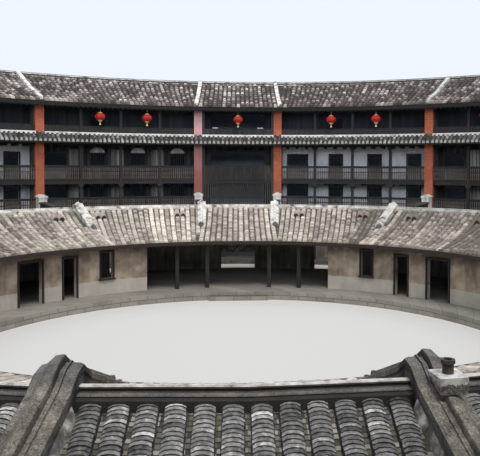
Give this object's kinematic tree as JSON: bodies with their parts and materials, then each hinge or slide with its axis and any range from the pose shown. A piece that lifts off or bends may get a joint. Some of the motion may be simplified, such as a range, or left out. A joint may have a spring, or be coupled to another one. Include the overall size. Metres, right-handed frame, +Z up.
{
  "type": "round earth house, 1:2 scale model",
  "caption": "Round rammed-earth house with a high outer ring and a low inner ring, tiled roofs, radial fire walls, galleries and a round courtyard, at 1:2.",
  "frame": {"origin": "centre of the courtyard at ground level", "axes": "+Z up, +Y towards the great hall opposite the gateway, +X to the right when looking along +Y"},
  "size_m": [39.05, 39.05, 7.635],
  "materials": {
    "earth": "matt rammed earth",
    "stone": "rough river stone",
    "granite": "dressed granite",
    "brick": "red brick in lime mortar, plastered below",
    "plaster": "limewashed plaster",
    "grey_plaster": "worn grey plaster",
    "timber": "dark weathered timber",
    "roof_tile": "weathered grey clay tile",
    "coping": "weathered limewashed coping",
    "ceramic": "dark fired clay"
  },
  "bodies": {
    "root": {"outer_wall_1": "earth", "outer_wall_2": "earth", "outer_wall_3": "earth", "outer_wall_4": "earth", "stone_footing": "stone", "terrace": "stone", "gate_arch": "granite", "fire_walls_1": "brick", "fire_walls_2": "brick", "fire_walls_3": "brick", "fire_walls_4": "brick", "section_walls_1": "brick", "section_walls_2": "brick", "section_walls_3": "brick", "section_walls_4": "brick", "room_front_1": "plaster", "room_front_2": "plaster", "room_front_3": "plaster", "room_front_4": "plaster", "court_wall_1": "grey_plaster", "court_wall_2": "grey_plaster", "court_wall_3": "grey_plaster", "court_wall_4": "grey_plaster", "rear_wall": "grey_plaster", "floor_2": "timber", "floor_3": "timber", "floor_4": "timber", "inner_eave_beam": "timber", "gallery_1": "timber", "gallery_2": "timber", "gallery_3": "timber", "gallery_4": "timber", "gallery_5": "timber", "gallery_6": "timber", "gallery_7": "timber", "gallery_8": "timber", "gallery_9": "timber", "gallery_10": "timber", "gallery_11": "timber", "gallery_12": "timber", "hall_gallery_1": "timber", "hall_gallery_2": "timber", "hall_gallery_3": "timber", "hall_gallery_4": "timber", "main_roof_1": "roof_tile", "main_roof_2": "roof_tile", "main_roof_3": "roof_tile", "main_roof_4": "roof_tile", "inner_roof_1": "roof_tile", "inner_roof_2": "roof_tile", "inner_roof_3": "roof_tile", "inner_roof_4": "roof_tile", "skirt_roof": "roof_tile", "main_ridge": "coping", "inner_ridge": "coping", "chimney_pot": "ceramic"}
  },
  "joints": []
}
